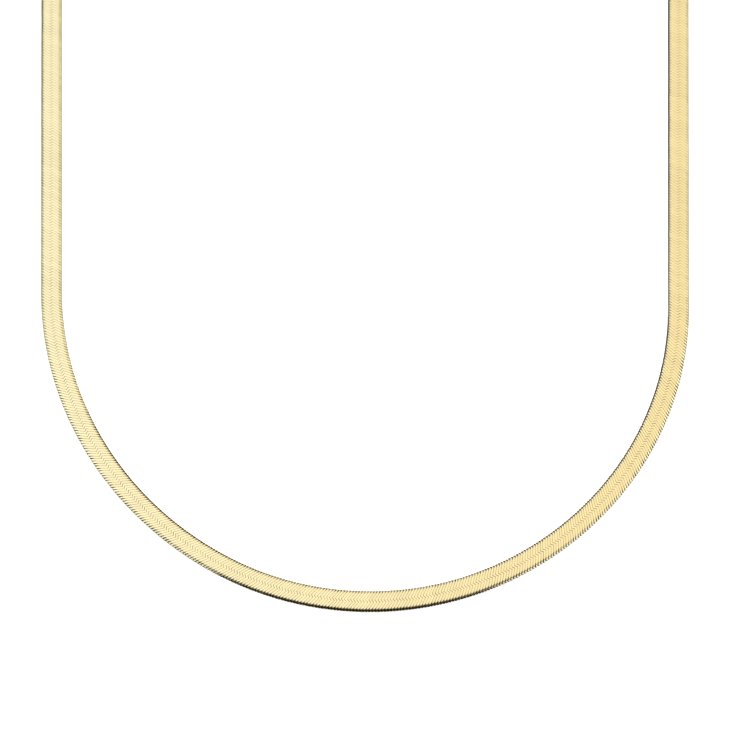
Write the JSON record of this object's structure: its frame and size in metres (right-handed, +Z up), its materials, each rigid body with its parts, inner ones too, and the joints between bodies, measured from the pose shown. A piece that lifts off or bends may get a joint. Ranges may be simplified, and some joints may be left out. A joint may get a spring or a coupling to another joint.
{
  "type": "herringbone chain necklace",
  "caption": "Flat woven herringbone neck chain in yellow gold, lying as a closed loop, fastened at the back by end caps, jump rings and a lobster clasp.",
  "frame": {"origin": "middle of the loop as it lies, on the surface that it rests on", "axes": "+Z up from the surface, +Y from the front curve towards the clasp at the back, +X to the right as seen from the front"},
  "size_m": [0.1092, 0.173, 0.0022],
  "materials": {
    "woven_gold": "yellow gold wire links, pressed flat and polished",
    "polished_gold": "polished yellow gold"
  },
  "bodies": {
    "root": {"chain": "woven_gold", "end_cap_left": "polished_gold", "end_cap_right": "polished_gold", "ring_left": "polished_gold", "ring_right": "polished_gold", "clasp": "polished_gold"}
  },
  "joints": []
}
